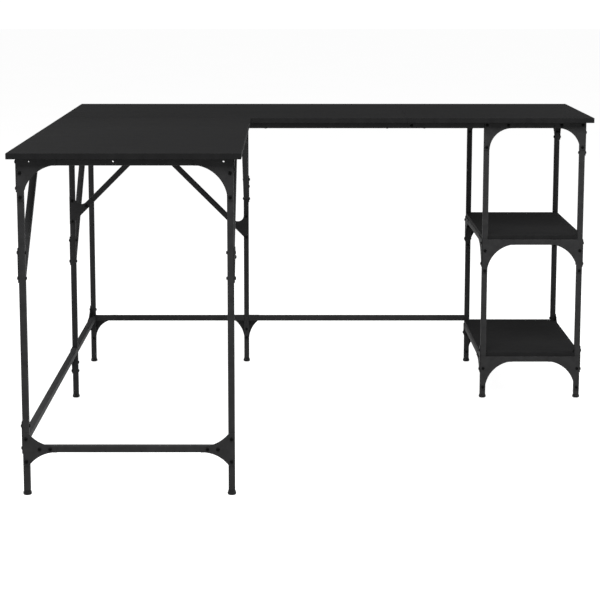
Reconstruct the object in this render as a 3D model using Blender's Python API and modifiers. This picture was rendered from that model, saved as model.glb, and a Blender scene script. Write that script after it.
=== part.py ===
"""Corner desk: an L-shaped top of three boards on nine tube legs, with a two-shelf tower.

Metres, +Z up, X to the right, Y to the back. The origin is on the floor, under the middle
of the footprint. The frame is square steel tube: legs, rails under the top, low stretchers,
shelf rails and diagonal braces, joined by bolted sheet gussets.
"""
import math

import bmesh
import bpy
from mathutils import Matrix

# Overall sizes
DESK_WIDTH = 1.400
DESK_DEPTH = 1.400
DESK_HEIGHT = 0.755
ARM = 0.500                # depth of each arm of the L
BOARD = 0.013              # thickness of the desktop boards
SHELF_BOARD = 0.010        # thickness of the shelf boards
SEAM_X = 0.210             # joint between the corner board and the right board

# Tube and sheet
LEG = 0.0145               # side of the leg tube
RAIL = 0.0152              # side of the rail tube, a little over the leg's
WALL = 0.0012              # wall of both tubes
CORNER = 0.0015            # outside corner radius of both tubes
PLATE = 0.0015             # gusset sheet
GAP = 0.0003               # clearance between touching pieces
END_GAP = 0.0004           # clearance between a leg and the end of a rail
PLATE_GAP = 0.00025        # clearance between a leg and a gusset

# Where the legs stand
INSET = 0.0192             # board edge to the outer face of a leg
INNER_LEG_X = -0.2243      # legs under the inner edge of the left arm
TOWER_LEG_X = 0.4215       # left legs of the shelf tower
UNDERSIDE = DESK_HEIGHT - BOARD
OUTER = DESK_WIDTH / 2 - INSET - LEG / 2
MID_Y = DESK_DEPTH / 2 - ARM + INSET + LEG / 2

# Undersides of the rails
TOP_RAIL_Z = UNDERSIDE - RAIL - GAP
UPPER_SHELF_Z = 0.4160
LOWER_SHELF_Z = 0.0985
FRONT_BAR_Z = 0.0962
SIDE_BAR_Z = 0.1218

# Bolt heads and holes
BOLT_RADIUS = 0.0036
BOLT_PROUD = 0.0022
BOLT_SIDES = 10
HOLE_RADIUS = 0.0024
PLATE_MIDDLE = LEG / 2 + PLATE_GAP + PLATE / 2
ARC_STEPS = 8

# Feet: (radius, height) from the top of the plug down the outside to the floor
FOOT_HEIGHT = 0.010
FOOT_PROFILE = (
    (0.0000, 0.0220),
    (0.0052, 0.0220),
    (0.0052, FOOT_HEIGHT),
    (0.0078, FOOT_HEIGHT),
    (0.0085, 0.0084),
    (0.0098, 0.0064),
    (0.0098, 0.0040),
    (0.0088, 0.0014),
    (0.0070, 0.0000),
    (0.0000, 0.0000),
)
FOOT_STEPS = 16

# Gussets, all measured from the rail's underside and from the leg's inner face. "below" is the reach
# along the rail, the drop down the leg and the radius of the arc between them, "above" is the same
# over the rail, and "strip" is the lower and upper end of the plate on the leg.
LOW_GUSSET = {"below": (0.0615, 0.0615, 0.0785), "above": None, "strip": (-0.075, RAIL),
              "leg_bolts": (-0.0155, -0.0675), "rail_bolts": ()}
HIGH_GUSSET = {"below": (0.0570, 0.0570, 0.0785), "above": None, "strip": (-0.059, RAIL),
               "leg_bolts": (0.0045, -0.0510), "rail_bolts": ()}
QUARTER_GUSSET = {"below": (0.0580, 0.0570, 0.0580), "above": None, "strip": (-0.0585, RAIL),
                  "leg_bolts": (0.0095, -0.0505), "rail_bolts": (0.0485,)}
DOUBLE_GUSSET = {"below": (0.0500, 0.0280, 0.0730), "above": (0.0480, 0.0265, 0.0720),
                 "strip": (-0.0290, RAIL + 0.0275), "leg_bolts": (0.0305, -0.0200),
                 "rail_bolts": (0.0225, 0.0455)}
CORNER_GUSSET = {"below": (0.0520, 0.0480, 0.0525), "above": None, "strip": (-0.0615, RAIL),
                 "leg_bolts": (-0.052,), "rail_bolts": ()}
TAB = {"below": (0.0080, 0.0100, 0.0120), "above": None, "strip": (-0.018, RAIL),
       "leg_bolts": (-0.010,), "rail_bolts": ()}
TIP = 0.008                # gusset past its arc, or past its last bolt, along the rail

# Legs by name, at the centre of each tube
LEGS = {
    "front_left": (-OUTER, -OUTER),
    "front_right": (INNER_LEG_X, -OUTER),
    "mid_left": (-OUTER, MID_Y),
    "back_left": (-OUTER, OUTER),
    "back_mid": (INNER_LEG_X, OUTER),
    "tower_front_left": (TOWER_LEG_X, MID_Y),
    "tower_front_right": (OUTER, MID_Y),
    "tower_back_left": (TOWER_LEG_X, OUTER),
    "tower_back_right": (OUTER, OUTER),
}

# Each side a rail can face: its turn about Z, which sends the rail's own -Y outwards
TURN = {"front": 0.0, "right": math.pi / 2, "back": math.pi, "left": -math.pi / 2}

# Rails between two legs: name, first leg, last leg, side, underside, first gusset, last gusset.
# Seen from outside, the first leg is on the left.
RAILS = (
    ("rail_arm_front", "front_left", "front_right", "front", TOP_RAIL_Z, LOW_GUSSET, LOW_GUSSET),
    ("rail_left_front", "mid_left", "front_left", "left", TOP_RAIL_Z, QUARTER_GUSSET, QUARTER_GUSSET),
    ("rail_left_back", "back_left", "mid_left", "left", TOP_RAIL_Z, QUARTER_GUSSET, None),
    ("rail_arm_inner", "front_right", "back_mid", "right", TOP_RAIL_Z, TAB, None),
    ("rail_back_left", "back_mid", "back_left", "back", TOP_RAIL_Z, None, LOW_GUSSET),
    ("rail_back_right", "tower_back_left", "back_mid", "back", TOP_RAIL_Z, None, None),
    ("rail_tower_front", "tower_front_left", "tower_front_right", "front", TOP_RAIL_Z,
     QUARTER_GUSSET, QUARTER_GUSSET),
    ("rail_tower_back", "tower_back_right", "tower_back_left", "back", TOP_RAIL_Z,
     QUARTER_GUSSET, QUARTER_GUSSET),
    ("rail_tower_left", "tower_back_left", "tower_front_left", "left", TOP_RAIL_Z, None, None),
    ("rail_tower_right", "tower_front_right", "tower_back_right", "right", TOP_RAIL_Z,
     LOW_GUSSET, LOW_GUSSET),
    ("upper_shelf_rail_front", "tower_front_left", "tower_front_right", "front", UPPER_SHELF_Z,
     LOW_GUSSET, LOW_GUSSET),
    ("upper_shelf_rail_back", "tower_back_right", "tower_back_left", "back", UPPER_SHELF_Z,
     LOW_GUSSET, LOW_GUSSET),
    ("upper_shelf_rail_left", "tower_back_left", "tower_front_left", "left", UPPER_SHELF_Z,
     HIGH_GUSSET, HIGH_GUSSET),
    ("upper_shelf_rail_right", "tower_front_right", "tower_back_right", "right", UPPER_SHELF_Z,
     HIGH_GUSSET, HIGH_GUSSET),
    ("lower_shelf_rail_front", "tower_front_left", "tower_front_right", "front", LOWER_SHELF_Z,
     LOW_GUSSET, LOW_GUSSET),
    ("lower_shelf_rail_back", "tower_back_right", "tower_back_left", "back", LOWER_SHELF_Z,
     LOW_GUSSET, LOW_GUSSET),
    ("lower_shelf_rail_left", "tower_back_left", "tower_front_left", "left", LOWER_SHELF_Z,
     TAB, DOUBLE_GUSSET),
    ("lower_shelf_rail_right", "tower_front_right", "tower_back_right", "right", LOWER_SHELF_Z,
     DOUBLE_GUSSET, DOUBLE_GUSSET),
    ("stretcher_front", "front_left", "front_right", "front", FRONT_BAR_Z, DOUBLE_GUSSET, DOUBLE_GUSSET),
    ("stretcher_left_front", "mid_left", "front_left", "left", SIDE_BAR_Z, None, DOUBLE_GUSSET),
    ("stretcher_left_back", "back_left", "mid_left", "left", SIDE_BAR_Z, DOUBLE_GUSSET, None),
    ("stretcher_back_left", "back_mid", "back_left", "back", SIDE_BAR_Z, None, CORNER_GUSSET),
    ("stretcher_back_right", "tower_back_left", "back_mid", "back", SIDE_BAR_Z, None, None),
)

# See-through fixing holes in the front rail, along X
FRONT_RAIL_HOLES = (-0.6545, -0.4745, -0.2385)

# T-shaped gussets where two stretchers meet at one leg: name, leg, side, leg bolts below the bar
TEE_GUSSETS = (
    ("gusset_mid_left", "mid_left", "left", (-0.0255, -0.0485)),
    ("gusset_back_mid", "back_mid", "back", (-0.0242, -0.0498)),
)
TEE_REACH = 0.0293
TEE_DROP = 0.0540
TEE_RADIUS = 0.0730
TEE_LOW = -0.0560

# Braces at 45 degrees from a leg up to a top rail: name, leg, bracket side, lean, height where
# the brace's middle line meets the leg. Lean +1 runs towards the bracket side's right-hand end.
SHORT_BRACE_Z = 0.4920
LONG_BRACE_Z = 0.3820
BRACES = (
    ("brace_front_left", "front_left", "left", -1, SHORT_BRACE_Z),
    ("brace_front_right", "front_right", "right", 1, SHORT_BRACE_Z),
    ("brace_mid_left_cross", "mid_left", "front", 1, SHORT_BRACE_Z),
    ("brace_back_mid_inner", "back_mid", "right", -1, SHORT_BRACE_Z),
    ("brace_mid_left_side", "mid_left", "left", -1, LONG_BRACE_Z),
    ("brace_back_mid_rear", "back_mid", "front", -1, LONG_BRACE_Z),
)
BRACKET_FILLET = 0.017     # arc in the acute corner between leg and brace
BRACKET_LENGTH = 0.046     # how far the bracket follows the brace, along X
BRACKET_LIP = 0.0005       # bracket edge past the brace's edge
BRACKET_LOW = -0.020       # bracket strip on the leg, from the brace's middle line
BRACKET_HIGH = 0.056
BRACKET_BOLTS = ((-LEG / 2, 0.045), (-LEG / 2, -0.011), (0.033, 0.031))

# Finishes: colour, roughness, metallic
FINISHES = {
    "frame": ((0.040, 0.040, 0.042, 1.0), 0.45, 0.0),
    "board": ((0.026, 0.026, 0.027, 1.0), 0.55, 0.0),
    "foot": ((0.012, 0.012, 0.012, 1.0), 0.60, 0.0),
}


def clear_scene():
    for obj in list(bpy.data.objects):
        bpy.data.objects.remove(obj, do_unlink=True)


def add_object(name, mesh, collection):
    obj = bpy.data.objects.new(name, mesh)
    collection.objects.link(obj)
    return obj


def set_finish(obj, finish):
    colour, roughness, metallic = FINISHES[finish]
    material = bpy.data.materials.new(obj.name + "_" + finish)
    material.use_nodes = True
    shader = material.node_tree.nodes["Principled BSDF"]
    shader.inputs["Base Color"].default_value = colour
    shader.inputs["Roughness"].default_value = roughness
    shader.inputs["Metallic"].default_value = metallic
    material.diffuse_color = colour
    obj.data.materials.clear()
    obj.data.materials.append(material)


def prism(name, outlines, depth, frame, collection):
    """Closed object from flat outlines, filled and extruded, its mesh turned by frame."""
    curve = bpy.data.curves.new(name, "CURVE")
    curve.dimensions = "2D"
    curve.fill_mode = "BOTH"
    curve.extrude = depth / 2
    for outline in outlines:
        spline = curve.splines.new("POLY")
        spline.points.add(len(outline) - 1)
        for point, (u, v) in zip(spline.points, outline):
            point.co = (u, v, 0.0, 1.0)
        spline.use_cyclic_u = True
    holder = add_object(name + "_curve", curve, collection)
    evaluated = holder.evaluated_get(bpy.context.evaluated_depsgraph_get())
    mesh = bpy.data.meshes.new_from_object(evaluated)
    bpy.data.objects.remove(holder, do_unlink=True)
    solid = bmesh.new()
    solid.from_mesh(mesh)
    bmesh.ops.remove_doubles(solid, verts=solid.verts, dist=0.00001)
    bmesh.ops.transform(solid, matrix=frame, verts=solid.verts)
    bmesh.ops.recalc_face_normals(solid, faces=solid.faces)
    solid.to_mesh(mesh)
    solid.free()
    return add_object(name, mesh, collection)


def apply_booleans(target, tools, operation):
    """Boolean every tool into target, apply the result and remove the tools."""
    for tool in tools:
        modifier = target.modifiers.new(tool.name, "BOOLEAN")
        modifier.operation = operation
        modifier.solver = "EXACT"
        modifier.object = tool
    evaluated = target.evaluated_get(bpy.context.evaluated_depsgraph_get())
    mesh = bpy.data.meshes.new_from_object(evaluated)
    target.modifiers.clear()
    target.data = mesh
    for tool in tools:
        bpy.data.objects.remove(tool, do_unlink=True)


def square_ring(side):
    """Outer and inner outline of a square tube with rounded corners."""
    outlines = []
    for half, radius in ((side / 2, CORNER), (side / 2 - WALL, CORNER / 3)):
        points = []
        for quarter in range(4):
            middle = math.pi / 4 + quarter * math.pi / 2
            centre_u = math.copysign(half - radius, math.cos(middle))
            centre_v = math.copysign(half - radius, math.sin(middle))
            for step in (-1, 0, 1):
                angle = middle + step * math.pi / 4
                points.append((centre_u + radius * math.cos(angle), centre_v + radius * math.sin(angle)))
        outlines.append(points)
    return outlines


# Mesh turns: an outline drawn flat becomes a tube along X, or a plate in the XZ plane
ALONG_X = Matrix(((0, 0, 1, 0), (1, 0, 0, 0), (0, 1, 0, 0), (0, 0, 0, 1)))
IN_XZ = Matrix.Rotation(math.pi / 2, 4, "X")


def bolt_head(x, z, tools):
    """Low round head on the outside of a plate, facing -Y."""
    mesh = bpy.data.meshes.new("bolt_head")
    head = bmesh.new()
    depth = BOLT_PROUD + PLATE / 2
    bmesh.ops.create_cone(head, cap_ends=True, segments=BOLT_SIDES, radius1=BOLT_RADIUS,
                          radius2=BOLT_RADIUS * 0.75, depth=depth)
    place = Matrix.Translation((x, -PLATE_MIDDLE - depth / 2, z)) @ Matrix.Rotation(math.pi / 2, 4, "X")
    bmesh.ops.transform(head, matrix=place, verts=head.verts)
    head.to_mesh(mesh)
    head.free()
    return add_object("bolt_head", mesh, tools)


def arc(centre, radius, start, end):
    """Points of a circular arc, angles in radians."""
    points = []
    for step in range(ARC_STEPS + 1):
        angle = start + (end - start) * step / ARC_STEPS
        points.append((centre[0] + radius * math.cos(angle), centre[1] + radius * math.sin(angle)))
    return points


def arc_between(start, end, radius):
    """Shorter arc from start to end, with its centre on the right of the way."""
    chord_u = end[0] - start[0]
    chord_v = end[1] - start[1]
    chord = math.hypot(chord_u, chord_v)
    rise = math.sqrt(max(radius * radius - chord * chord / 4, 0.0)) / chord
    centre_u = (start[0] + end[0]) / 2 + chord_v * rise
    centre_v = (start[1] + end[1]) / 2 - chord_u * rise
    first = math.atan2(start[1] - centre_v, start[0] - centre_u)
    last = math.atan2(end[1] - centre_v, end[0] - centre_u)
    turn = (last - first + math.pi) % (2 * math.pi) - math.pi
    return arc((centre_u, centre_v), radius, first, first + turn)


def gusset_outline(gusset):
    """Outline in X and Z from the leg's inner face and the rail's underside, rail towards +X."""
    reach, drop, radius = gusset["below"]
    lowest, highest = gusset["strip"]
    far = -LEG - END_GAP
    tip = max((reach,) + gusset["rail_bolts"]) + TIP
    outline = [(far, lowest), (-END_GAP, lowest)]
    outline += arc_between((-END_GAP, -drop), (reach, 0.0), radius)
    outline += [(tip, 0.0), (tip, RAIL)]
    if gusset["above"]:
        up_reach, rise, up_radius = gusset["above"]
        outline += arc_between((up_reach, RAIL), (-END_GAP, RAIL + rise), up_radius)
        outline.append((-END_GAP, highest))
    outline.append((far, highest))
    return outline


def plate(name, outline, tools):
    """Gusset sheet on the outside of the legs, outline in X and Z, facing -Y."""
    sheet = prism(name, [outline], PLATE, Matrix.Translation((0, -PLATE_MIDDLE, 0)) @ IN_XZ, tools)
    return sheet


def end_fittings(gusset, length, mirrored, tools):
    """Gusset and bolt heads at one end of a rail that runs from X = 0 to X = length."""
    outline = gusset_outline(gusset)
    spots = [(-END_GAP - LEG / 2, z) for z in gusset["leg_bolts"]]
    spots += [(x, RAIL / 2) for x in gusset["rail_bolts"]]
    if mirrored:
        outline = [(length - x, z) for x, z in reversed(outline)]
        spots = [(length - x, z) for x, z in spots]
    pieces = [plate("gusset", outline, tools)]
    for x, z in spots:
        pieces.append(bolt_head(x, z, tools))
    return pieces


def rail_tube(name, length, collection):
    """Rail tube along X from 0 to length, its underside at Z = 0."""
    frame = Matrix.Translation((length / 2, 0, RAIL / 2)) @ ALONG_X
    return prism(name, square_ring(RAIL), length, frame, collection)


def place_rail(obj, corner, side, underside):
    obj.location = (corner[0], corner[1], underside)
    obj.rotation_euler = (0.0, 0.0, TURN[side])


def make_rail(name, first, last, side, underside, first_gusset, last_gusset, parts, tools):
    """Rail between two legs, with its end gussets and bolt heads."""
    start = LEGS[first]
    end = LEGS[last]
    span = math.dist(start, end)
    clear = LEG / 2 + END_GAP
    rail = rail_tube(name, span - 2 * clear, parts)
    fittings = []
    if first_gusset:
        fittings += end_fittings(first_gusset, span - 2 * clear, False, tools)
    if last_gusset:
        fittings += end_fittings(last_gusset, span - 2 * clear, True, tools)
    if fittings:
        apply_booleans(rail, fittings, "UNION")
    along_x = clear * math.cos(TURN[side])
    along_y = clear * math.sin(TURN[side])
    place_rail(rail, (start[0] + along_x, start[1] + along_y), side, underside)
    set_finish(rail, "frame")
    return rail


def hole_cutter(x, y, z, radius, depth, tools):
    """Round cutter along Y."""
    mesh = bpy.data.meshes.new("hole")
    pin = bmesh.new()
    bmesh.ops.create_cone(pin, cap_ends=True, segments=10, radius1=radius, radius2=radius, depth=depth)
    bmesh.ops.transform(pin, matrix=Matrix.Translation((x, y, z)) @ IN_XZ, verts=pin.verts)
    pin.to_mesh(mesh)
    pin.free()
    cutter = add_object("hole", mesh, tools)
    cutter.hide_render = True
    cutter.display_type = "WIRE"
    return cutter


def drill_front_rail(rail, tools):
    """Fixing holes right through the front rail and its gussets."""
    cutters = []
    for x in FRONT_RAIL_HOLES:
        cutters.append(hole_cutter(x - rail.location.x, 0.0, RAIL / 2, HOLE_RADIUS, 0.060, tools))
    for cutter in cutters:
        cutter.location = rail.location
    bpy.context.view_layer.update()
    apply_booleans(rail, cutters, "DIFFERENCE")


def make_plain_rails(parts):
    """Rails that butt against other rails instead of legs."""
    clear_leg = LEG / 2 + END_GAP
    clear_rail = RAIL / 2 + GAP
    cross = rail_tube("rail_cross", INNER_LEG_X + OUTER - clear_leg - clear_rail, parts)
    place_rail(cross, (-OUTER + clear_leg, MID_Y), "front", TOP_RAIL_Z)
    right = rail_tube("rail_right_front", TOWER_LEG_X - INNER_LEG_X - clear_leg - clear_rail, parts)
    place_rail(right, (INNER_LEG_X + clear_rail, MID_Y), "front", TOP_RAIL_Z)
    seam = rail_tube("rail_seam", OUTER - MID_Y - 2 * clear_rail, parts)
    place_rail(seam, (SEAM_X + 0.013, MID_Y + clear_rail), "right", TOP_RAIL_Z)
    for rail in (cross, right, seam):
        set_finish(rail, "frame")


def make_tee_gusset(name, leg, side, bolts, parts, tools):
    """Plate across two stretchers and down one leg."""
    half = LEG / 2
    end = half + TEE_REACH
    outline = arc_between((-end, 0.0), (-half, -TEE_DROP), TEE_RADIUS)
    outline += [(-half, TEE_LOW), (half, TEE_LOW)]
    outline += arc_between((half, -TEE_DROP), (end, 0.0), TEE_RADIUS)
    outline += [(end, RAIL), (-end, RAIL)]
    sheet = plate(name, outline, parts)
    heads = [bolt_head(0.0, z, tools) for z in bolts]
    apply_booleans(sheet, heads, "UNION")
    stand_off = RAIL / 2 - LEG / 2
    x = LEGS[leg][0] + stand_off * math.sin(TURN[side])
    y = LEGS[leg][1] - stand_off * math.cos(TURN[side])
    place_rail(sheet, (x, y), side, SIDE_BAR_Z)
    set_finish(sheet, "frame")


def brace_outline(half_height, top, start):
    """45 degree bar from a leg face at X = start up to a level top, middle line through (0, 0)."""
    return [
        (start, start - half_height),
        (top + half_height, top),
        (top - half_height, top),
        (start, start + half_height),
    ]


def bracket_outline(half_height):
    """Y-shaped bracket: strip on the leg, straight lower edge and a fillet above the brace."""
    far = -LEG
    centre_z = half_height + BRACKET_FILLET * (1 + math.sqrt(2))
    end_x = BRACKET_LENGTH
    outline = [(far, BRACKET_LOW), (0.0, BRACKET_LOW), (0.0, -half_height)]
    outline.append((end_x + half_height / 2, end_x - half_height / 2))
    outline.append((end_x - half_height / 2, end_x + half_height / 2))
    outline += arc((BRACKET_FILLET, centre_z), BRACKET_FILLET, 1.75 * math.pi, math.pi)
    outline += [(0.0, BRACKET_HIGH), (far, BRACKET_HIGH)]
    return outline


def make_brace(name, leg, side, lean, height, parts, tools):
    """Hollow diagonal with its bracket and bolt heads, built leaning towards +X."""
    half_height = RAIL / 2 * math.sqrt(2)
    top = TOP_RAIL_Z - GAP - height
    face = LEG / 2 + END_GAP
    bar = prism(name, [brace_outline(half_height, top, 0.0)], RAIL, IN_XZ, parts)
    hollow_half = (RAIL / 2 - WALL) * math.sqrt(2)
    hollow = brace_outline(hollow_half, top + 0.020, -0.020)
    cutter = prism("hollow", [hollow], RAIL - 2 * WALL, IN_XZ, tools)
    apply_booleans(bar, [cutter], "DIFFERENCE")
    pieces = [plate("bracket", bracket_outline(half_height + BRACKET_LIP), tools)]
    for x, z in BRACKET_BOLTS:
        pieces.append(bolt_head(x, z, tools))
    apply_booleans(bar, pieces, "UNION")
    if lean < 0:
        mirror_mesh(bar.data)
    centre = LEGS[leg]
    turn = TURN[side]
    x = centre[0] + lean * face * math.cos(turn)
    y = centre[1] + lean * face * math.sin(turn)
    place_rail(bar, (x, y), side, height)
    set_finish(bar, "frame")


def mirror_mesh(mesh):
    """Mirror a mesh in its own X, keeping its faces outwards."""
    solid = bmesh.new()
    solid.from_mesh(mesh)
    bmesh.ops.scale(solid, vec=(-1.0, 1.0, 1.0), verts=solid.verts)
    bmesh.ops.reverse_faces(solid, faces=solid.faces)
    solid.to_mesh(mesh)
    solid.free()


def make_board(name, low, high, underside, thickness, parts):
    """Plain rectangular board."""
    mesh = bpy.data.meshes.new(name)
    board = bmesh.new()
    bmesh.ops.create_cube(board, size=1.0)
    size = (high[0] - low[0], high[1] - low[1], thickness)
    bmesh.ops.scale(board, vec=size, verts=board.verts)
    board.to_mesh(mesh)
    board.free()
    obj = add_object(name, mesh, parts)
    obj.location = ((low[0] + high[0]) / 2, (low[1] + high[1]) / 2, underside + thickness / 2)
    set_finish(obj, "board")


def make_desktop(parts):
    half_x = DESK_WIDTH / 2
    half_y = DESK_DEPTH / 2
    front_y = half_y - ARM
    make_board("desktop_left_arm", (-half_x, -half_y), (-half_x + ARM, front_y - GAP), UNDERSIDE, BOARD, parts)
    make_board("desktop_corner", (-half_x, front_y), (SEAM_X - GAP, half_y), UNDERSIDE, BOARD, parts)
    make_board("desktop_right", (SEAM_X, front_y), (half_x, half_y), UNDERSIDE, BOARD, parts)


def make_shelf_board(name, rail_underside, parts):
    """Board on top of the shelf rails, flush with the legs' outer faces and notched round them."""
    notch = LEG + 2 * GAP
    low_x = TOWER_LEG_X - LEG / 2
    high_x = OUTER + LEG / 2
    low_y = MID_Y - LEG / 2
    high_y = OUTER + LEG / 2
    outline = []
    corners = ((low_x, low_y, 1, 1), (high_x, low_y, -1, 1), (high_x, high_y, -1, -1), (low_x, high_y, 1, -1))
    for index, (x, y, step_x, step_y) in enumerate(corners):
        corner = [(x, y + step_y * notch), (x + step_x * notch, y + step_y * notch), (x + step_x * notch, y)]
        if index % 2:
            corner.reverse()
        outline += corner
    underside = rail_underside + RAIL + GAP
    frame = Matrix.Translation((0, 0, SHELF_BOARD / 2))
    board = prism(name, [outline], SHELF_BOARD, frame, parts)
    board.location = (0.0, 0.0, underside)
    set_finish(board, "board")


def make_leg(name, centre, parts):
    length = UNDERSIDE - 2 * GAP - FOOT_HEIGHT
    leg = prism("leg_" + name, square_ring(LEG), length, Matrix.Translation((0, 0, length / 2)), parts)
    leg.location = (centre[0], centre[1], FOOT_HEIGHT + GAP)
    set_finish(leg, "frame")


def make_foot(name, centre, parts):
    """Turned glide foot with a plug that stands inside the leg tube."""
    mesh = bpy.data.meshes.new("foot_" + name)
    profile = bmesh.new()
    verts = [profile.verts.new((radius, 0.0, height)) for radius, height in FOOT_PROFILE]
    for upper, lower in zip(verts, verts[1:]):
        profile.edges.new((upper, lower))
    profile.to_mesh(mesh)
    profile.free()
    foot = add_object("foot_" + name, mesh, parts)
    screw = foot.modifiers.new("turn", "SCREW")
    screw.axis = "Z"
    screw.steps = FOOT_STEPS
    screw.render_steps = FOOT_STEPS
    screw.use_merge_vertices = True
    screw.merge_threshold = 0.00001
    foot.location = (centre[0], centre[1], 0.0)
    set_finish(foot, "foot")


def build():
    clear_scene()
    parts = bpy.data.collections.new("corner_desk")
    tools = bpy.data.collections.new("cutters")
    bpy.context.scene.collection.children.link(parts)
    bpy.context.scene.collection.children.link(tools)
    make_desktop(parts)
    make_shelf_board("shelf_board_upper", UPPER_SHELF_Z, parts)
    make_shelf_board("shelf_board_lower", LOWER_SHELF_Z, parts)
    for name, centre in LEGS.items():
        make_leg(name, centre, parts)
        make_foot(name, centre, parts)
    for row in RAILS:
        rail = make_rail(*row, parts, tools)
        if rail.name == "rail_arm_front":
            drill_front_rail(rail, tools)
    make_plain_rails(parts)
    for name, leg, side, bolts in TEE_GUSSETS:
        make_tee_gusset(name, leg, side, bolts, parts, tools)
    for name, leg, side, lean, height in BRACES:
        make_brace(name, leg, side, lean, height, parts, tools)


build()
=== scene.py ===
"""Looks for the corner desk: black powder-coated tube frame, black laminate boards."""

import math

import bmesh
import bpy
from mathutils import Matrix, Vector


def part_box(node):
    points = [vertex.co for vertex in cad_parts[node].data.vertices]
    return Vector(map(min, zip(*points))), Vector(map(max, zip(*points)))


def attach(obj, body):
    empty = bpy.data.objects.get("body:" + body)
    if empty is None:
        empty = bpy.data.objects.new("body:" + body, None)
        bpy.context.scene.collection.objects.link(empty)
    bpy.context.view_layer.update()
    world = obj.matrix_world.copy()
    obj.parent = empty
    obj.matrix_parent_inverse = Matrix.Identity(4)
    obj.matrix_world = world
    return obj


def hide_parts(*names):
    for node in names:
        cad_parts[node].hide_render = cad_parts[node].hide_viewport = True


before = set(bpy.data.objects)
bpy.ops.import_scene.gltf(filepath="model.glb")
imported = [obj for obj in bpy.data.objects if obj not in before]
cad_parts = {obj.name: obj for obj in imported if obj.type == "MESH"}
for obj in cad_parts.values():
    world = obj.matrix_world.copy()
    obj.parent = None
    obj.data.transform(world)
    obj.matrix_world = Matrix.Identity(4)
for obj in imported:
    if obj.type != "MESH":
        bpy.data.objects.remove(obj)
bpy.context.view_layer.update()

# ---------------------------------------------------------------- sizes, in metres

BODY = "root"
GAP = 0.0003               # clearance between touching pieces
WALL = 0.0012              # tube wall
TUBE_RADIUS = 0.0016       # outside corner radius of the tubes
PLATE = 0.0015             # gusset sheet
PLATE_GAP = 0.00025        # gusset to leg
RAIL = 0.0150              # side of the rail and brace tube
EDGE_BREAK = 0.0003        # rounding on sheet edges
CUT_BREAK = 0.0002         # rounding on the cut ends of tubes
BOARD_BREAK = 0.0006       # rounding on board edges

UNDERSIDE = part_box("desktop_corner")[0].z
RAIL_TOP = UNDERSIDE - GAP
RAIL_LOW = RAIL_TOP - RAIL
UPPER_SHELF_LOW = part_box("shelf_board_upper")[0].z - GAP - RAIL
LOWER_SHELF_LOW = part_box("shelf_board_lower")[0].z - GAP - RAIL
FRONT_BAR_LOW = 0.0964
SIDE_BAR_LOW = 0.1222

LEG_NAMES = ("front_left", "front_right", "mid_left", "back_left", "back_mid", "tower_front_left",
             "tower_front_right", "tower_back_left", "tower_back_right")
LEG_BOX = {name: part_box("leg_" + name) for name in LEG_NAMES}
LEG_AT = {name: ((box[0].x + box[1].x) / 2, (box[0].y + box[1].y) / 2) for name, box in LEG_BOX.items()}
LEG = LEG_BOX["front_left"][1].x - LEG_BOX["front_left"][0].x
HALF = LEG / 2

# A side's turn about Z takes local x to the right, as seen from outside, and local -y outwards.
TURN = {"front": 0.0, "right": math.pi / 2, "back": math.pi, "left": -math.pi / 2}


# ---------------------------------------------------------------- materials

NOISE_LOW = 0.3            # a noise texture's values mostly lie between these two
NOISE_HIGH = 0.7


def new_material(name):
    """Material, its node tree and its shader."""
    material = bpy.data.materials.new(name)
    material.use_nodes = True
    return material, material.node_tree, material.node_tree.nodes["Principled BSDF"]


def shaded_ramp(tree, source, low, high):
    """Colour ramp between two greys, driven by a noise value."""
    ramp = tree.nodes.new("ShaderNodeValToRGB")
    ramp.color_ramp.elements[0].position = NOISE_LOW
    ramp.color_ramp.elements[0].color = low
    ramp.color_ramp.elements[1].position = NOISE_HIGH
    ramp.color_ramp.elements[1].color = high
    tree.links.new(source, ramp.inputs["Fac"])
    return ramp.outputs["Color"]


def value_range(tree, source, low, high, start=NOISE_LOW, end=NOISE_HIGH):
    """Number between low and high, driven by a value between start and end."""
    span = tree.nodes.new("ShaderNodeMapRange")
    span.inputs["From Min"].default_value = start
    span.inputs["From Max"].default_value = end
    span.inputs["To Min"].default_value = low
    span.inputs["To Max"].default_value = high
    tree.links.new(source, span.inputs["Value"])
    return span.outputs["Result"]


def noise(tree, coords, scale, detail, stretch=(1.0, 1.0, 1.0)):
    """Noise in object coordinates. Its scale is per metre, times the stretch on each axis."""
    mapping = tree.nodes.new("ShaderNodeMapping")
    mapping.inputs["Scale"].default_value = stretch
    tree.links.new(coords, mapping.inputs["Vector"])
    made = tree.nodes.new("ShaderNodeTexNoise")
    made.inputs["Scale"].default_value = scale
    made.inputs["Detail"].default_value = detail
    tree.links.new(mapping.outputs["Vector"], made.inputs["Vector"])
    return made.outputs["Fac"]


def bump(tree, height, strength, distance, normal=None):
    """Normal of a bumpy surface, on top of an earlier one if given."""
    made = tree.nodes.new("ShaderNodeBump")
    made.inputs["Strength"].default_value = strength
    made.inputs["Distance"].default_value = distance
    tree.links.new(height, made.inputs["Height"])
    if normal:
        tree.links.new(normal, made.inputs["Normal"])
    return made.outputs["Normal"]


COAT_UNEVEN = 0.06         # roughness either side of its mean
BOARD_SMOOTHER = 0.05      # roughness below and above its mean
BOARD_ROUGHER = 0.07
BOARD_SHINE = 0.02
PLASTIC_SMOOTH = 0.42      # roughness between these two
PLASTIC_ROUGH = 0.58
PLASTIC_SHINE = 0.12
COOL = 1.02                # share of blue in the greys


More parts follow.
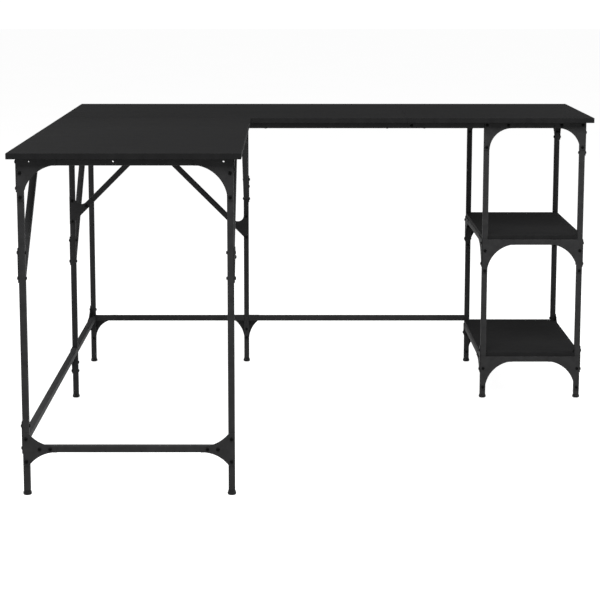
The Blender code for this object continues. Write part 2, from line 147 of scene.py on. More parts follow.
def powder_coat(name, dark, light, rough, shine):
    """Fine orange-peel texture with slightly uneven gloss."""
    material, tree, shader = new_material(name)
    coords = tree.nodes.new("ShaderNodeTexCoord").outputs["Object"]
    cloud = noise(tree, coords, scale=55.0, detail=3.0)
    grain = noise(tree, coords, scale=1400.0, detail=2.0)
    waves = noise(tree, coords, scale=620.0, detail=1.0)
    tree.links.new(shaded_ramp(tree, cloud, dark, light), shader.inputs["Base Color"])
    uneven = value_range(tree, grain, rough - COAT_UNEVEN, rough + COAT_UNEVEN)
    tree.links.new(uneven, shader.inputs["Roughness"])
    soft = bump(tree, waves, strength=0.35, distance=0.00006)
    fine = bump(tree, grain, strength=0.30, distance=0.00003, normal=soft)
    tree.links.new(fine, shader.inputs["Normal"])
    shader.inputs["Specular IOR Level"].default_value = shine
    return material


def laminate(name, dark, light, rough, stretch):
    """Printed board surface: faint long grain, pores and a matt finish."""
    material, tree, shader = new_material(name)
    coords = tree.nodes.new("ShaderNodeTexCoord").outputs["Object"]
    grain = noise(tree, coords, scale=9.0, detail=6.0, stretch=stretch)
    pores = noise(tree, coords, scale=60.0, detail=3.0, stretch=stretch)
    tree.links.new(shaded_ramp(tree, grain, dark, light), shader.inputs["Base Color"])
    uneven = value_range(tree, pores, rough - BOARD_SMOOTHER, rough + BOARD_ROUGHER)
    tree.links.new(uneven, shader.inputs["Roughness"])
    soft = bump(tree, grain, strength=0.10, distance=0.0004)
    fine = bump(tree, pores, strength=0.16, distance=0.00008, normal=soft)
    tree.links.new(fine, shader.inputs["Normal"])
    shader.inputs["Specular IOR Level"].default_value = BOARD_SHINE
    return material


def moulded_plastic(name, dark, light):
    """Dull plastic with a finely grained surface."""
    material, tree, shader = new_material(name)
    coords = tree.nodes.new("ShaderNodeTexCoord").outputs["Object"]
    spots = noise(tree, coords, scale=900.0, detail=2.0)
    tree.links.new(shaded_ramp(tree, spots, dark, light), shader.inputs["Base Color"])
    tree.links.new(value_range(tree, spots, PLASTIC_SMOOTH, PLASTIC_ROUGH), shader.inputs["Roughness"])
    tree.links.new(bump(tree, spots, strength=0.3, distance=0.00004), shader.inputs["Normal"])
    shader.inputs["Specular IOR Level"].default_value = PLASTIC_SHINE
    return material


def grey(value):
    """Very slightly cool grey, linear."""
    return (value, value, value * COOL, 1.0)


ALONG_X = (1.0, 12.0, 12.0)    # grain drawn out along x
UPRIGHT = (6.0, 6.0, 1.0)      # marks drawn out along z, across the thin edges
FRAME_COAT = powder_coat("black_powder_coat", grey(0.0128), grey(0.0176), rough=0.64, shine=0.07)
BOLT_FINISH = powder_coat("black_bolt_finish", grey(0.0008), grey(0.0016), rough=0.55, shine=0.06)
BOARD_TOP = laminate("black_laminate", grey(0.0070), grey(0.0086), rough=0.72, stretch=ALONG_X)
BOARD_EDGE = laminate("black_edge_band", grey(0.0074), grey(0.0094), rough=0.64, stretch=UPRIGHT)
FOOT_PLASTIC = moulded_plastic("black_foot_plastic", grey(0.004), grey(0.007))


# ---------------------------------------------------------------- mesh tools

PLATE_SHARP = 32.0         # edges steeper than this many degrees stay sharp
BOLT_SHARP = 40.0


def add_piece(name, solid, materials, replaced, matrix=None, sharp=PLATE_SHARP):
    """Turns a bmesh into a finished piece that rides on the one body."""
    if matrix:
        bmesh.ops.transform(solid, matrix=matrix, verts=solid.verts)
    bmesh.ops.recalc_face_normals(solid, faces=solid.faces)
    limit = math.radians(sharp)
    for face in solid.faces:
        face.smooth = True
    for edge in solid.edges:
        if len(edge.link_faces) == 2:
            edge.smooth = edge.calc_face_angle() < limit
    mesh = bpy.data.meshes.new(name)
    solid.to_mesh(mesh)
    solid.free()
    for material in materials:
        mesh.materials.append(material)
    piece = bpy.data.objects.new(name, mesh)
    bpy.context.scene.collection.objects.link(piece)
    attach(piece, BODY)
    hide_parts(*replaced)
    return piece


def ring(solid, points):
    """Vertices at the given points."""
    return [solid.verts.new(point) for point in points]


def bridge(solid, first, second):
    """Band of faces between two rings with as many points each."""
    count = len(first)
    for index in range(count):
        after = (index + 1) % count
        solid.faces.new((first[index], first[after], second[after], second[index]))


def rounded_square(half, radius, steps=4):
    """Corner-rounded square, as (u, v) points."""
    points = []
    for quarter in range(4):
        middle = math.pi / 4 + quarter * math.pi / 2
        centre_u = math.copysign(half - radius, math.cos(middle))
        centre_v = math.copysign(half - radius, math.sin(middle))
        for step in range(steps + 1):
            angle = middle + (step / steps - 0.5) * math.pi / 2
            points.append((centre_u + radius * math.cos(angle), centre_v + radius * math.sin(angle)))
    return points


def square_tube(solid, side, length, place):
    """Hollow tube along X from 0, with lightly broken cut edges."""
    outer = rounded_square(side / 2, TUBE_RADIUS)
    worn = rounded_square(side / 2 - CUT_BREAK, TUBE_RADIUS)
    inner = rounded_square(side / 2 - WALL, TUBE_RADIUS / 2)
    layers = (
        (worn, 0.0), (outer, CUT_BREAK), (outer, length - CUT_BREAK), (worn, length),
        (inner, length), (inner, 0.0),
    )
    rings = []
    for points, x in layers:
        rings.append(ring(solid, [place @ Vector((x, u, v)) for u, v in points]))
    for first, second in zip(rings, rings[1:] + rings[:1]):
        bridge(solid, first, second)


def arc_between(start, end, radius, steps=14):
    """Circular arc from start to end, its centre on the right of the way."""
    chord = Vector(end) - Vector(start)
    middle = (Vector(start) + Vector(end)) / 2
    rise = math.sqrt(max(radius * radius - chord.length_squared / 4, 0.0))
    side = Vector((chord.y, -chord.x)).normalized()
    centre = middle + side * rise
    first = math.atan2(start[1] - centre.y, start[0] - centre.x)
    last = math.atan2(end[1] - centre.y, end[0] - centre.x)
    turn = (last - first + math.pi) % (2 * math.pi) - math.pi
    points = []
    for step in range(steps + 1):
        angle = first + turn * step / steps
        points.append((centre.x + radius * math.cos(angle), centre.y + radius * math.sin(angle)))
    return points


def sheet_solid(outline, back, thickness):
    """Flat plate in x and z with broken edges. Its back face is at y = -back, its front further out."""
    solid = bmesh.new()
    front = back + thickness
    layers = []
    for depth, shrink in ((back, EDGE_BREAK), (back + EDGE_BREAK, 0.0), (front - EDGE_BREAK, 0.0),
                          (front, EDGE_BREAK)):
        layers.append(ring(solid, [(x, -depth, z) for x, z in inset(outline, shrink)]))
    for first, second in zip(layers, layers[1:]):
        bridge(solid, first, second)
    solid.faces.new(layers[0])
    solid.faces.new(layers[-1])
    split_caps(solid)
    return solid


def split_caps(solid):
    """Triangulates the large flat faces, which may be concave."""
    solid.normal_update()
    bmesh.ops.triangulate(solid, faces=[face for face in solid.faces if len(face.verts) > 4])


SHARPEST = 0.4             # limit on how far an inset moves a sharp corner


def inset(outline, distance):
    """Outline moved inwards by distance, whichever way round it runs."""
    if distance == 0.0:
        return list(outline)
    count = len(outline)
    area = 0.0
    for index in range(count):
        x0, y0 = outline[index]
        x1, y1 = outline[(index + 1) % count]
        area += x0 * y1 - x1 * y0
    sign = 1.0 if area > 0 else -1.0
    moved = []
    for index in range(count):
        before = Vector(outline[index - 1])
        here = Vector(outline[index])
        after = Vector(outline[(index + 1) % count])
        first = (here - before).normalized()
        second = (after - here).normalized()
        normal = Vector((-first.y - second.y, first.x + second.x))
        normal.normalize()
        scale = max(SHARPEST, normal.dot(Vector((-first.y, first.x))))
        point = here + normal * (sign * distance / scale)
        moved.append((point.x, point.y))
    return moved


def round_corner(corner, before, after, radius, steps=3):
    """Short arc that replaces a square corner of an outline."""
    here = Vector(corner)
    way_in = (Vector(before) - here).normalized()
    way_out = (Vector(after) - here).normalized()
    start = here + way_in * radius
    end = here + way_out * radius
    points = []
    for step in range(steps + 1):
        t = step / steps
        point = start * (1 - t) ** 2 + here * 2 * t * (1 - t) + end * t * t
        points.append((point.x, point.y))
    return points


DRILL_LENGTH = 0.06
DRILL_SEGMENTS = 24


def drill(piece, spots, radius):
    """Round holes along y, right through a finished piece."""
    solid = bmesh.new()
    for spot in spots:
        place = Matrix.Translation(spot) @ Matrix.Rotation(math.pi / 2, 4, "X")
        bmesh.ops.create_cone(solid, cap_ends=True, segments=DRILL_SEGMENTS, radius1=radius,
                              radius2=radius, depth=DRILL_LENGTH, matrix=place)
    mesh = bpy.data.meshes.new("drill")
    solid.to_mesh(mesh)
    solid.free()
    tool = bpy.data.objects.new("drill", mesh)
    bpy.context.scene.collection.objects.link(tool)
    cut = piece.modifiers.new("drill", "BOOLEAN")
    cut.operation = "DIFFERENCE"
    cut.object = tool
    evaluated = piece.evaluated_get(bpy.context.evaluated_depsgraph_get())
    drilled = bpy.data.meshes.new_from_object(evaluated)
    piece.modifiers.clear()
    piece.data = drilled
    bpy.data.objects.remove(tool, do_unlink=True)


HEAD_SEGMENTS = 24
HEAD_RADIUS = 0.0041
HEAD_HEIGHT = 0.0026
FAR_HEAD_RADIUS = HEAD_RADIUS * 0.95
SCREW_RADIUS = 0.0034
SCREW_HEIGHT = 0.0014
SOCKET = 0.0013            # from the middle of the socket to one of its corners
SOCKET_FLOOR = 0.45        # share of the head's height below the socket
# Dome of a bolt head: shares of its radius and of its height
DOME = ((1.0, 0.0), (1.0, 0.20), (0.97, 0.42), (0.86, 0.72), (0.68, 0.93), (0.50, 1.0))


def bolt_head(solid, place, radius=HEAD_RADIUS, height=HEAD_HEIGHT):
    """Button head along local -y with a six-sided socket."""
    rings = []
    for wide, deep in DOME:
        rings.append(head_ring(solid, place, radius * wide, height * deep, 0.0))
    rings.append(head_ring(solid, place, SOCKET, height, 1.0))
    rings.append(head_ring(solid, place, SOCKET, height * SOCKET_FLOOR, 1.0))
    for first, second in zip(rings, rings[1:]):
        bridge(solid, first, second)
    solid.faces.new(rings[0])
    solid.faces.new(rings[-1])


def head_ring(solid, place, radius, depth, flats):
    """Ring of a bolt head. flats 1 makes it a hexagon, 0 a circle."""
    points = []
    for index in range(HEAD_SEGMENTS):
        angle = index * 2 * math.pi / HEAD_SEGMENTS
        sector = (angle % (math.pi / 3)) - math.pi / 6
        reach = radius * (1 - flats + flats * math.cos(math.pi / 6) / math.cos(sector))
        points.append(place @ Vector((reach * math.cos(angle), -depth, reach * math.sin(angle))))
    return ring(solid, points)


# ---------------------------------------------------------------- boards

# Board edges: (depth below the top face, inset), as shares of BOARD_BREAK
UPPER_EDGE = ((0.7, 0.0), (0.2, 0.35), (0.0, 1.0))


def slab(name, low, high, outline, replaced):
    """Board from an outline in x and y, with softened top and bottom edges and its own edge band."""
    solid = bmesh.new()
    steps = [(low, BOARD_BREAK), (low + BOARD_BREAK, 0.0)]
    steps += [(high - BOARD_BREAK * depth, BOARD_BREAK * shrink) for depth, shrink in UPPER_EDGE]
    layers = []
    for z, shrink in steps:
        layers.append(ring(solid, [(x, y, z) for x, y in inset(outline, shrink)]))
    for first, second in zip(layers, layers[1:]):
        bridge(solid, first, second)
    for face in solid.faces:
        face.material_index = 1
    for layer in (layers[0], layers[-1]):
        solid.faces.new(layer)
    split_caps(solid)
    add_piece(name, solid, [BOARD_TOP, BOARD_EDGE], (replaced,))


def rectangle(low, high):
    """Outline of a box in x and y."""
    return [(low.x, low.y), (high.x, low.y), (high.x, high.y), (low.x, high.y)]


def make_boards():
    """Desktop boards, and shelf boards notched round the tower's legs."""
    for name in ("desktop_left_arm", "desktop_corner", "desktop_right"):
        low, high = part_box(name)
        slab("board_" + name, low.z, high.z, rectangle(low, high), name)
    notch = LEG + 2 * GAP
    for name in ("shelf_board_upper", "shelf_board_lower"):
        low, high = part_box(name)
        outline = [
            (low.x + notch, low.y), (high.x - notch, low.y), (high.x - notch, low.y + notch),
            (high.x, low.y + notch), (high.x, high.y - notch), (high.x - notch, high.y - notch),
            (high.x - notch, high.y), (low.x + notch, high.y), (low.x + notch, high.y - notch),
            (low.x, high.y - notch), (low.x, low.y + notch), (low.x + notch, low.y + notch),
        ]
        slab("fine_" + name, low.z, high.z, outline, name)


# ---------------------------------------------------------------- legs and feet

# (radius, height) from the top of the plug, down the outside, to the floor
FOOT_PROFILE = (
    (0.0050, 0.0200), (0.0056, 0.0194), (0.0056, 0.0102), (0.0072, 0.0102), (0.0079, 0.0099),
    (0.0082, 0.0088), (0.0087, 0.0072), (0.0094, 0.0056), (0.0097, 0.0044), (0.0097, 0.0034),
    (0.0094, 0.0018), (0.0087, 0.0006), (0.0078, 0.0000), (0.0030, 0.0000),
)
FOOT_SEGMENTS = 40


def make_legs():
    """Leg tubes and the glides in their feet."""
    along_z = Matrix.Rotation(-math.pi / 2, 4, "Y")
    for name in LEG_NAMES:
        low, high = LEG_BOX[name]
        x, y = LEG_AT[name]
        solid = bmesh.new()
        square_tube(solid, LEG, high.z - low.z, Matrix.Translation((x, y, low.z)) @ along_z)
        add_piece("tube_leg_" + name, solid, [FRAME_COAT], ("leg_" + name,))
        foot = bmesh.new()
        rings = []
        for radius, height in FOOT_PROFILE:
            points = []
            for index in range(FOOT_SEGMENTS):
                angle = index * 2 * math.pi / FOOT_SEGMENTS
                points.append((x + radius * math.cos(angle), y + radius * math.sin(angle), height))
            rings.append(ring(foot, points))
        for first, second in zip(rings, rings[1:]):
            bridge(foot, first, second)
        foot.faces.new(rings[0])
        foot.faces.new(rings[-1])
        add_piece("glide_" + name, foot, [FOOT_PLASTIC], ("foot_" + name,))


# ---------------------------------------------------------------- rails and gussets

def side_place(leg, side):
    """Local frame of one side of a leg: x to the right, -y outwards, z the height above the floor."""
    x, y = LEG_AT[leg]
    return Matrix.Translation((x, y, 0.0)) @ Matrix.Rotation(TURN[side], 4, "Z")


def rail(name, first, last, side, low):
    """Rail tube between two legs; seen from outside, the first leg is on the left."""
    place = side_place(first, side)
    start = HALF + GAP
    end = math.dist(LEG_AT[first], LEG_AT[last]) - HALF - GAP
    solid = bmesh.new()
    square_tube(solid, RAIL, end - start, place @ Matrix.Translation((start, 0.0, low + RAIL / 2)))
    return add_piece("tube_" + name, solid, [FRAME_COAT], (name,))


def bolts(name, place, spots, node_name, opposite=()):
    """One piece: heads at (x, z) spots on the outside of a plate, and heads across the leg."""
    solid = bmesh.new()
    for x, z in spots:
        bolt_head(solid, place @ Matrix.Translation((x, -(HALF + PLATE_GAP + PLATE), z)))
    flip = Matrix.Rotation(math.pi, 4, "Z")
    for x, z in opposite:
        bolt_head(solid, place @ Matrix.Translation((x, HALF + FLUSH, z)) @ flip, FAR_HEAD_RADIUS)
    add_piece(name, solid, [BOLT_FINISH], (node_name,), sharp=BOLT_SHARP)


FLUSH = 0.0001             # plate edges and far heads stand this far off the tube's faces
STRIP_IN = 0.0004          # strip's outer edge to the leg's outer face
STRIP_SHY = 0.0002         # strip's other edges to the tube's faces
LOWER_ROUND = 0.0022       # corner radii of the strip
UPPER_ROUND = 0.0012
PAST_ARC = 0.010           # plate beyond the arc's end on the rail
PAST_BOLT = 0.007          # plate beyond the last bolt on the rail


def gusset(node_name, leg, side, lean, low, below, ends, leg_bolts, above=None, rail_bolts=(),
           far_heads=True):
    """Corner plate on the outside of a leg and rail. Heights are in metres above the floor.

    below and above are (reach along the rail, height along the leg, arc radius); ends are the
    lower and upper end of the strip on the leg, which stops just under the rail's top where the
    upper one is None. lean is 1 where the rail runs to local +x.
    """
    high = low + RAIL
    reach, drop, radius = below
    end_low = ends[0]
    end_high = ends[1] if ends[1] is not None else high - STRIP_SHY
    tip = HALF + reach + PAST_ARC
    if rail_bolts:
        tip = max(tip, HALF + max(rail_bolts) + PAST_BOLT)
    outer = -HALF + STRIP_IN
    inner = HALF - STRIP_SHY
    inside = (end_low + end_high) / 2
    outline = round_corner((outer, end_low), (outer, inside), (inner, end_low), LOWER_ROUND)
    outline += round_corner((inner, end_low), (outer, end_low), (inner, inside), LOWER_ROUND)
    outline += arc_between((HALF, low - drop), (HALF + reach, low + FLUSH), radius)
    outline += [(tip, low + FLUSH), (tip, high - FLUSH)]
    if above:
        up_reach, rise, up_radius = above
        outline += arc_between((HALF + up_reach, high - FLUSH), (HALF, high + rise), up_radius)
    outline += round_corner((inner, end_high), (inner, inside), (outer, end_high), UPPER_ROUND)
    outline += round_corner((outer, end_high), (inner, end_high), (outer, inside), UPPER_ROUND)
    if lean < 0:
        outline = [(-x, z) for x, z in reversed(outline)]
    place = side_place(leg, side)
    label = node_name + "_" + leg
    solid = sheet_solid(outline, HALF + PLATE_GAP, PLATE)
    plate = add_piece("gusset_" + label, solid, [FRAME_COAT], (node_name,), matrix=place)
    spots = [(0.0, z) for z in leg_bolts]
    opposite = list(spots) if far_heads else []
    spots += [(lean * (HALF + x), low + RAIL / 2) for x in rail_bolts]
    bolts("bolts_" + label, place, spots, node_name, opposite=opposite)
    return plate


def both_ends(node_name, first, last, side, low, **options):
    """The same gusset at both ends of a rail."""
    gusset(node_name, first, side, 1, low, **options)
    gusset(node_name, last, side, -1, low, **options)


HOLE_RADIUS = 0.0024       # three holes in the front rail of the left arm
HOLES_X = (-0.6545, -0.4745, -0.2385)
HOLES_Z = 0.7350

# Arcs: reach along the rail, drop down the leg and radius
LOW_ARC = (0.0612, 0.0618, 0.0780)
QUARTER_ARC = (0.0580, 0.0572, 0.0582)
SHELF_SIDE_ARC = (0.0570, 0.0570, 0.0780)
CORNER_ARC = (0.0520, 0.0485, 0.0540)
TAB_ARC = (0.008, 0.010, 0.012)
FISHTAIL = {"below": (0.0500, 0.0280, 0.0725), "above": (0.0500, 0.0272, 0.0740),
            "rail_bolts": (0.0225, 0.0455)}

# Gussets: strip ends and bolts on the leg as heights above the floor, bolts on the rail from the leg
ARM_GUSSET = {"below": LOW_ARC, "ends": (0.652, None), "leg_bolts": (0.711, 0.659)}
SIDE_GUSSET = {"below": QUARTER_ARC, "ends": (0.6690, None), "leg_bolts": (0.7345, 0.6775),
               "rail_bolts": (0.0485,)}
ARM_TAB = {"below": TAB_ARC, "ends": (0.711, None), "leg_bolts": (0.7185,), "far_heads": False}
TOWER_TOP = {"below": QUARTER_ARC, "ends": (0.6690, None), "leg_bolts": (0.7345, 0.6767),
             "rail_bolts": (0.0485,)}
TOWER_SIDE_TOP = {"below": LOW_ARC, "ends": (0.654, None), "leg_bolts": (0.715, 0.662)}
UPPER_SHELF = {"below": LOW_ARC, "ends": (0.341, None), "leg_bolts": (0.401, 0.347)}
UPPER_SHELF_SIDE = {"below": SHELF_SIDE_ARC, "ends": (0.357, None), "leg_bolts": (0.4205, 0.365)}
LOWER_SHELF = {"below": LOW_ARC, "ends": (0.0215, None), "leg_bolts": (0.081, 0.0297)}
LOWER_SHELF_SIDE = {"ends": (0.0695, 0.1410), "leg_bolts": (0.129, 0.0785), **FISHTAIL}
LOWER_SHELF_TAB = {"below": TAB_ARC, "ends": (0.0795, None), "leg_bolts": (0.0870,), "far_heads": False}
FRONT_BAR_GUSSET = {"ends": (0.0670, 0.1395), "leg_bolts": (0.127, 0.076), **FISHTAIL}
SIDE_BAR_GUSSET = {"ends": (0.0930, 0.1655), "leg_bolts": (0.1545, 0.1050), **FISHTAIL}
BACK_BAR_GUSSET = {"below": CORNER_ARC, "ends": (0.061, None), "leg_bolts": (0.070,)}


def make_top_rails():
    """Rails under the desktop that end at a leg, apart from the tower's."""
    front = rail("rail_arm_front", "front_left", "front_right", "front", RAIL_LOW)
    left_plate = gusset("rail_arm_front", "front_left", "front", 1, RAIL_LOW, **ARM_GUSSET)
    right_plate = gusset("rail_arm_front", "front_right", "front", -1, RAIL_LOW, **ARM_GUSSET)
    spots = [(x, LEG_AT["front_left"][1], HOLES_Z) for x in HOLES_X]
    for piece in (front, left_plate, right_plate):
        drill(piece, spots, HOLE_RADIUS)
    rail("rail_left_front", "mid_left", "front_left", "left", RAIL_LOW)
    both_ends("rail_left_front", "mid_left", "front_left", "left", RAIL_LOW, **SIDE_GUSSET)
    rail("rail_left_back", "back_left", "mid_left", "left", RAIL_LOW)
    gusset("rail_left_back", "back_left", "left", 1, RAIL_LOW, **SIDE_GUSSET)
    rail("rail_arm_inner", "front_right", "back_mid", "right", RAIL_LOW)
    gusset("rail_arm_inner", "front_right", "right", 1, RAIL_LOW, **ARM_TAB)
    rail("rail_back_left", "back_mid", "back_left", "back", RAIL_LOW)
    gusset("rail_back_left", "back_left", "back", -1, RAIL_LOW, **ARM_GUSSET)
    rail("rail_back_right", "tower_back_left", "back_mid", "back", RAIL_LOW)


TOWER_CORNERS = ("tower_front_left", "tower_front_right", "tower_back_right", "tower_back_left")
TOWER_SIDES = ("front", "right", "back", "left")


def make_tower():
    """Rails and gussets of the shelf tower, side by side."""
    for index, side in enumerate(TOWER_SIDES):
        first = TOWER_CORNERS[index]
        last = TOWER_CORNERS[(index + 1) % 4]
        top = "rail_tower_" + side
        upper = "upper_shelf_rail_" + side
        lower = "lower_shelf_rail_" + side
        rail(top, first, last, side, RAIL_LOW)
        rail(upper, first, last, side, UPPER_SHELF_LOW)
        rail(lower, first, last, side, LOWER_SHELF_LOW)
        if side in ("front", "back"):
            both_ends(top, first, last, side, RAIL_LOW, **TOWER_TOP)
            both_ends(upper, first, last, side, UPPER_SHELF_LOW, **UPPER_SHELF)
            both_ends(lower, first, last, side, LOWER_SHELF_LOW, **LOWER_SHELF)
            continue
        both_ends(upper, first, last, side, UPPER_SHELF_LOW, **UPPER_SHELF_SIDE)
        if side == "right":
            both_ends(top, first, last, side, RAIL_LOW, **TOWER_SIDE_TOP)
            both_ends(lower, first, last, side, LOWER_SHELF_LOW, **LOWER_SHELF_SIDE)
        else:
            gusset(lower, last, side, -1, LOWER_SHELF_LOW, **LOWER_SHELF_SIDE)
            gusset(lower, first, side, 1, LOWER_SHELF_LOW, **LOWER_SHELF_TAB)


SCREWS_X = (-0.161, 0.159, 0.257)
FACE_BOLT_X = 0.223
FACE_BOLT_Z = 0.7335


def make_arm_fixings():
    """Wood screws up through the front rail of the right arm, and the bolt in its face."""
    y = LEG_AT["tower_front_left"][1]
    solid = bmesh.new()
    down = Matrix.Rotation(math.pi / 2, 4, "X")
    for x in SCREWS_X:
        bolt_head(solid, Matrix.Translation((x, y, RAIL_LOW)) @ down, SCREW_RADIUS, SCREW_HEIGHT)
    bolt_head(solid, Matrix.Translation((FACE_BOLT_X, y - RAIL / 2, FACE_BOLT_Z)))
    add_piece("fixings_rail_right_front", solid, [BOLT_FINISH], ("rail_right_front",), sharp=BOLT_SHARP)


def plain_rail(name):
    """Rail between other rails: same tube, placed by its CAD box."""
    low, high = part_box(name)
    solid = bmesh.new()
    middle = (low + high) / 2
    if high.x - low.x > high.y - low.y:
        place = Matrix.Translation((low.x, middle.y, middle.z))
        length = high.x - low.x
    else:
        place = Matrix.Translation((middle.x, low.y, middle.z)) @ Matrix.Rotation(math.pi / 2, 4, "Z")
        length = high.y - low.y
    square_tube(solid, RAIL, length, place)
    add_piece("tube_" + name, solid, [FRAME_COAT], (name,))


def make_stretchers():
    """Low bars between the legs."""
    rail("stretcher_front", "front_left", "front_right", "front", FRONT_BAR_LOW)
    both_ends("stretcher_front", "front_left", "front_right", "front", FRONT_BAR_LOW, **FRONT_BAR_GUSSET)
    rail("stretcher_left_front", "mid_left", "front_left", "left", SIDE_BAR_LOW)
    gusset("stretcher_left_front", "front_left", "left", -1, SIDE_BAR_LOW, **SIDE_BAR_GUSSET)
    rail("stretcher_left_back", "back_left", "mid_left", "left", SIDE_BAR_LOW)
    gusset("stretcher_left_back", "back_left", "left", 1, SIDE_BAR_LOW, **SIDE_BAR_GUSSET)
    rail("stretcher_back_left", "back_mid", "back_left", "back", SIDE_BAR_LOW)
    gusset("stretcher_back_left", "back_left", "back", -1, SIDE_BAR_LOW, **BACK_BAR_GUSSET)
    rail("stretcher_back_right", "tower_back_left", "back_mid", "back", SIDE_BAR_LOW)


TEE_REACH = 0.0292
TEE_DROP = 0.0540
TEE_RADIUS = 0.0725
TEE_ROUND = 0.0015
TEE_BELOW_ARC = 0.0020     # length of strip below the arcs
# Node, its leg and side, and the heights of its bolts
TEES = (
    ("gusset_mid_left", "mid_left", "left", (0.096, 0.073)),
    ("gusset_back_mid", "back_mid", "back", (0.0976, 0.072)),
)


def make_tees():
    """T-shaped plates where two stretchers meet at one leg."""
    for node_name, leg, side, heights in TEES:
        low = SIDE_BAR_LOW
        high = low + RAIL
        end = low - TEE_DROP - TEE_BELOW_ARC
        outline = arc_between((HALF, low - TEE_DROP), (HALF + TEE_REACH, low), TEE_RADIUS)
        outline += [(HALF + TEE_REACH, high), (-HALF - TEE_REACH, high)]
        outline += arc_between((-HALF - TEE_REACH, low), (-HALF, low - TEE_DROP), TEE_RADIUS)
        outline += round_corner((-HALF, end), (-HALF, low), (HALF, end), TEE_ROUND)
        outline += round_corner((HALF, end), (-HALF, end), (HALF, low), TEE_ROUND)
        place = side_place(leg, side)
        solid = sheet_solid(outline, HALF + PLATE_GAP, PLATE)
        add_piece("tee_" + node_name, solid, [FRAME_COAT], (node_name,), matrix=place)
        spots = [(0.0, z) for z in heights]
        bolts("bolts_" + node_name, place, spots, node_name, opposite=spots)


# ---------------------------------------------------------------- braces

FILLET = 0.017             # between the bracket's strip and its arm
BRACKET_BELOW = 0.020      # strip's lower end, below the foot of the middle line
BRACKET_ABOVE = 0.056      # strip's upper end, above it
BRACKET_ARM = 0.046        # end of the arm, along x from the leg's face
BRACKET_BOLT = 0.030       # bolt in the arm, measured the same way
BRACKET_ROUND = 0.002
DIAGONAL = math.sqrt(2)
SHORT_FOOT = 0.4925        # heights of the feet of the short, cross and long braces
CROSS_FOOT = SHORT_FOOT - 0.001
LONG_FOOT = 0.3820


def brace(name, leg, side, lean, foot_z, bolt_high=0.0455, bolt_low=-0.0105):
    """45 degree tube from a leg up to a top rail, with its bracket and bolts.

    foot_z is the height where the middle line meets the leg's inner face, and the bolts in the
    leg are measured from it.
    """
    place = side_place(leg, side)
    if lean < 0:
        place = place @ Matrix.Scale(-1.0, 4, (1.0, 0.0, 0.0))
    reach = RAIL / 2 * DIAGONAL
    start = HALF + GAP
    top = RAIL_LOW - GAP
    section = rounded_square(RAIL / 2, TUBE_RADIUS)
    foot_ring = [place @ Vector((start, u, foot_z + v * DIAGONAL)) for u, v in section]
    top_ring = [place @ Vector((start + (top - foot_z) - v * DIAGONAL, u, top)) for u, v in section]
    solid = bmesh.new()
    rings = [ring(solid, foot_ring), ring(solid, top_ring)]
    bridge(solid, rings[0], rings[1])
    solid.faces.new(rings[0])
    solid.faces.new(rings[1])
    add_piece("tube_" + name, solid, [FRAME_COAT], (name,))
    low = foot_z - BRACKET_BELOW
    high = foot_z + BRACKET_ABOVE
    outline = round_corner((-HALF, low), (-HALF, high), (HALF, low), BRACKET_ROUND)
    outline += [(HALF, low), (HALF, foot_z - reach)]
    outline += [(HALF + BRACKET_ARM + reach / 2, foot_z + BRACKET_ARM - reach / 2),
                (HALF + BRACKET_ARM - reach / 2, foot_z + BRACKET_ARM + reach / 2)]
    outline += fillet_arc((HALF + FILLET, foot_z + reach + FILLET * (1 + DIAGONAL)), FILLET)
    outline += round_corner((HALF, high), (HALF, low), (-HALF, high), BRACKET_ROUND)
    outline += round_corner((-HALF, high), (HALF, high), (-HALF, low), BRACKET_ROUND)
    solid = sheet_solid(outline, HALF + PLATE_GAP, PLATE)
    add_piece("bracket_" + name, solid, [FRAME_COAT], (name,), matrix=place)
    on_leg = [(0.0, foot_z + bolt_high), (0.0, foot_z + bolt_low)]
    on_arm = [(HALF + BRACKET_BOLT, foot_z + BRACKET_BOLT)]
    bolts("bolts_" + name, place, on_leg + on_arm, name, opposite=on_leg)


FILLET_START = 315.0       # degrees, where the fillet leaves the brace
FILLET_TURN = 135.0


def fillet_arc(centre, radius, steps=10):
    """Arc from the brace's upper edge round to the leg's inner face."""
    points = []
    for step in range(steps + 1):
        angle = math.radians(FILLET_START - FILLET_TURN * step / steps)
        points.append((centre[0] + radius * math.cos(angle), centre[1] + radius * math.sin(angle)))
    return points


def make_braces():
    brace("brace_front_left", "front_left", "left", -1, SHORT_FOOT)
    brace("brace_front_right", "front_right", "right", 1, SHORT_FOOT)
    brace("brace_mid_left_cross", "mid_left", "front", 1, CROSS_FOOT, bolt_high=0.0430, bolt_low=-0.0120)
    brace("brace_back_mid_inner", "back_mid", "right", -1, SHORT_FOOT)
    brace("brace_mid_left_side", "mid_left", "left", -1, LONG_FOOT)
    brace("brace_back_mid_rear", "back_mid", "front", -1, LONG_FOOT, bolt_high=0.0480, bolt_low=-0.0125)


# ---------------------------------------------------------------- studio

WORLD_LIGHT = 0.22
KEY_POWER = 340.0
HIGH_POWER = 170.0
SIDE_POWER = 35.0
BACKDROP = 1.05            # brightness of the backdrop, which doesn't light the desk
FLOOR_HALF = 30.0
FLOOR_DROP = 0.0005        # keeps the floor clear of the feet
FLOOR_GLOW = 0.93
FLOOR_ROUGH = 0.9
FLOOR_DARK = (0.19, 0.19, 0.19, 1.0)
FLOOR_LIGHT = (0.21, 0.21, 0.21, 1.0)


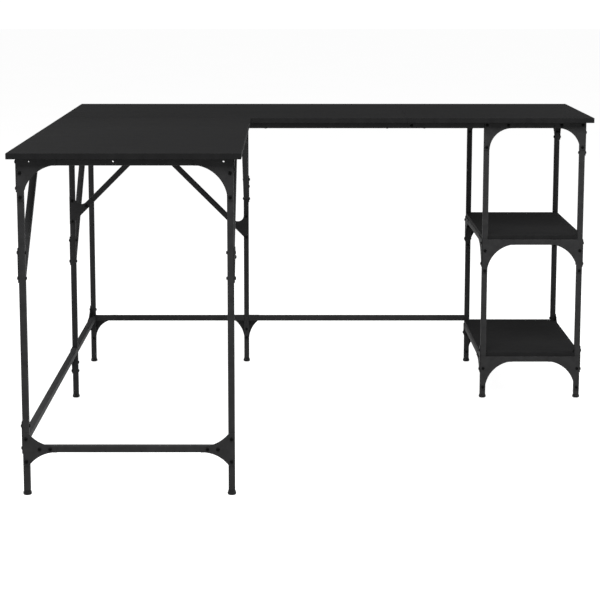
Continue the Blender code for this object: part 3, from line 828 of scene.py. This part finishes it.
# Name, place, aim, width and height, power
SOFTBOXES = (
    ("softbox_key", (0.0, -2.7, 3.95), (0.0, 0.2, 0.5), (3.0, 2.0), KEY_POWER),
    ("softbox_high_left", (-3.2, 0.0, 2.4), (0.0, 0.1, 0.4), (2.4, 2.0), HIGH_POWER),
    ("softbox_high_right", (3.2, 0.0, 2.4), (0.0, 0.1, 0.4), (2.4, 2.0), HIGH_POWER),
    ("softbox_left", (-3.0, 1.6, 0.9), (0.0, 0.2, 0.4), (2.6, 2.2), SIDE_POWER),
    ("softbox_right", (3.0, 1.6, 0.9), (0.0, 0.2, 0.4), (2.6, 2.2), SIDE_POWER),
)


def area_light(name, location, target, size, power):
    """Softbox aimed at target."""
    data = bpy.data.lights.new(name, "AREA")
    data.shape = "RECTANGLE"
    data.size = size[0]
    data.size_y = size[1]
    data.energy = power
    light = bpy.data.objects.new(name, data)
    light.location = location
    light.rotation_euler = (Vector(target) - Vector(location)).to_track_quat("-Z", "Y").to_euler()
    bpy.context.scene.collection.objects.link(light)


def make_studio():
    """Pale floor, backdrop and softboxes."""
    solid = bmesh.new()
    bmesh.ops.create_grid(solid, x_segments=1, y_segments=1, size=FLOOR_HALF)
    mesh = bpy.data.meshes.new("floor")
    solid.to_mesh(mesh)
    solid.free()
    material, tree, shader = new_material("pale_floor")
    coords = tree.nodes.new("ShaderNodeTexCoord").outputs["Object"]
    patches = noise(tree, coords, scale=1.5, detail=2.0)
    tree.links.new(shaded_ramp(tree, patches, FLOOR_DARK, FLOOR_LIGHT), shader.inputs["Base Color"])
    shader.inputs["Roughness"].default_value = FLOOR_ROUGH
    shader.inputs["Specular IOR Level"].default_value = 0.0
    shader.inputs["Emission Color"].default_value = (1.0, 1.0, 1.0, 1.0)
    shader.inputs["Emission Strength"].default_value = FLOOR_GLOW
    mesh.materials.append(material)
    floor = bpy.data.objects.new("floor", mesh)
    floor.location = (0.0, 0.0, -FLOOR_DROP)
    bpy.context.scene.collection.objects.link(floor)

    world = bpy.data.worlds.new("studio")
    world.use_nodes = True
    tree = world.node_tree
    background = tree.nodes["Background"]
    background.inputs["Color"].default_value = (1.0, 1.0, 1.0, 1.0)
    seen = tree.nodes.new("ShaderNodeLightPath").outputs["Is Camera Ray"]
    tree.links.new(value_range(tree, seen, WORLD_LIGHT, BACKDROP, 0.0, 1.0), background.inputs["Strength"])
    bpy.context.scene.world = world

    for name, location, target, size, power in SOFTBOXES:
        area_light(name, location, target, size, power)
    bpy.context.scene.view_settings.view_transform = "Standard"


# ---------------------------------------------------------------- camera

CAMERA_AT = (-0.0955, -4.4608, 1.1418)
CAMERA_PITCH = 9.04        # degrees below level
CAMERA_LENS = 106.94       # millimetres, as is the sensor
SENSOR = 36.0
CAMERA_SHIFT = (0.01578, -0.08)


def make_camera():
    data = bpy.data.cameras.new("camera")
    data.sensor_width = SENSOR
    data.lens = CAMERA_LENS
    data.shift_x, data.shift_y = CAMERA_SHIFT
    camera = bpy.data.objects.new("camera", data)
    camera.location = CAMERA_AT
    camera.rotation_euler = (math.radians(90.0 - CAMERA_PITCH), 0.0, 0.0)
    bpy.context.scene.collection.objects.link(camera)
    bpy.context.scene.camera = camera


make_camera()
make_boards()
make_legs()
make_top_rails()
make_tower()
make_arm_fixings()
for plain in ("rail_cross", "rail_right_front", "rail_seam"):
    plain_rail(plain)
make_stretchers()
make_tees()
make_braces()
make_studio()
